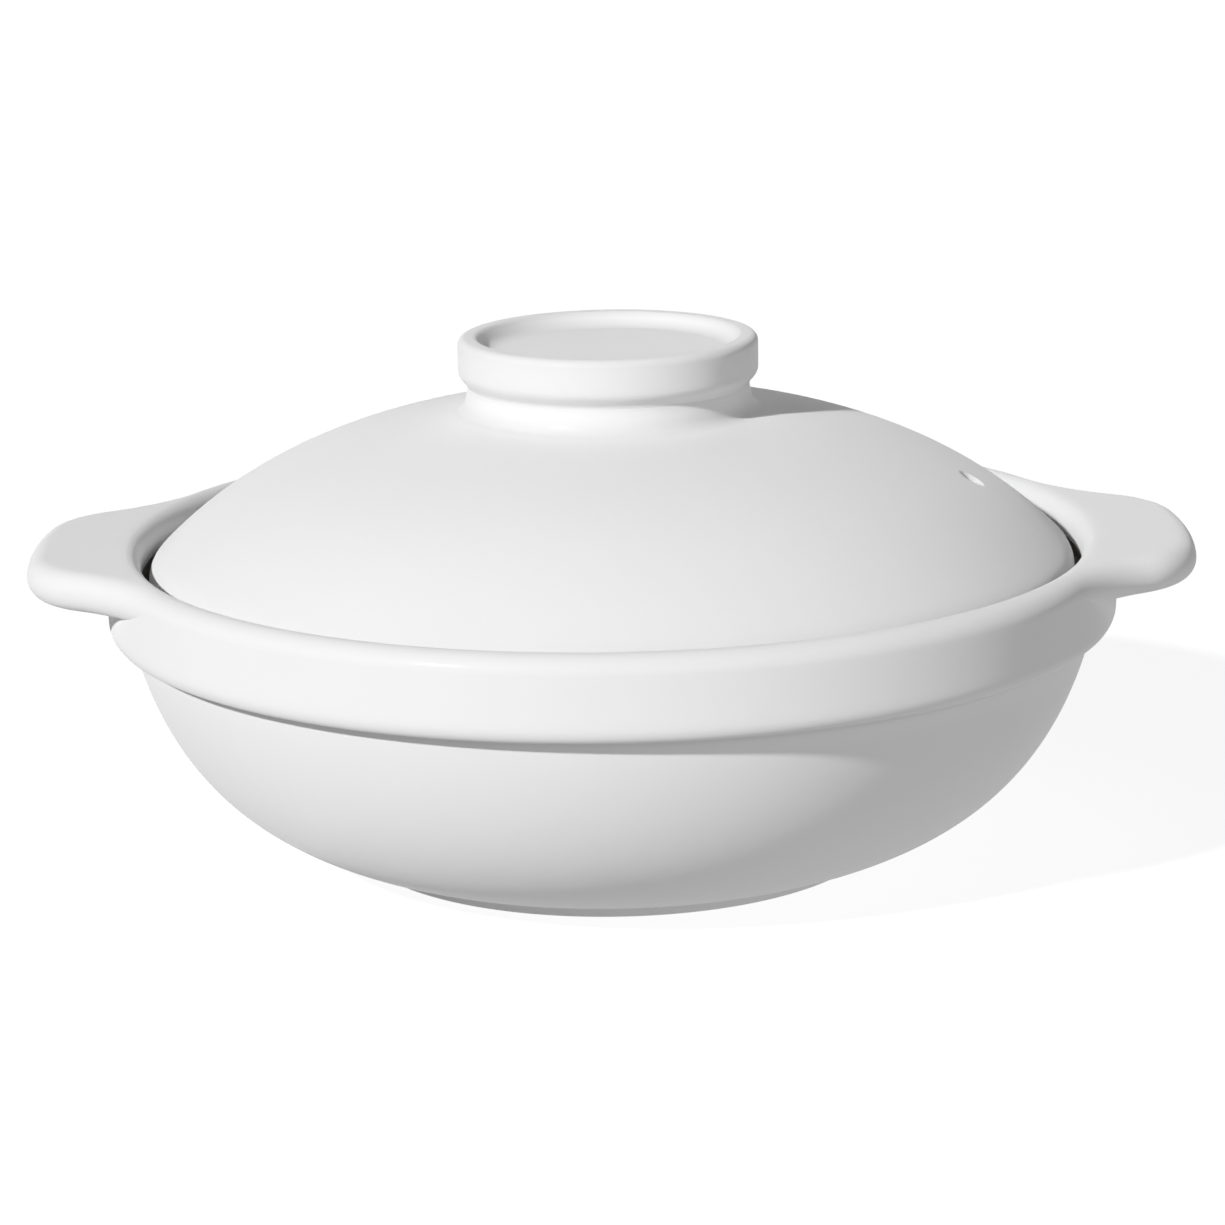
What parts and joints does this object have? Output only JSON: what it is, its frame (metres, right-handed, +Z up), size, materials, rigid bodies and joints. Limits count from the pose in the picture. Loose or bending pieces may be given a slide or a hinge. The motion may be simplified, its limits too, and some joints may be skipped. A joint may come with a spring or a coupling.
{
  "type": "lidded ceramic casserole pot",
  "caption": "Low white ceramic cooking pot with a thick rim band, flat tab handles, a foot ring and a vented domed lid with a ring knob that lifts straight off.",
  "frame": {"origin": "centre of the foot ring's underside, on the surface the pot stands on", "axes": "+Z up along the pot's axis, +X through the middle of the right handle, the viewer on the -Y side"},
  "size_m": [0.2772, 0.24, 0.1242],
  "materials": {
    "white_glaze": "satin",
    "bare_foot": "matte"
  },
  "bodies": {
    "pot": {"pot_bowl": "white_glaze", "foot_ring": "bare_foot", "left_handle": "white_glaze", "right_handle": "white_glaze"},
    "lid": {"lid_dome": "white_glaze", "lid_knob": "white_glaze"}
  },
  "joints": [
    {"name": "lid_lift", "type": "slide", "parent": "pot", "child": "lid", "axis": [0, 0, 1], "range_m": [0, 0.1]}
  ]
}
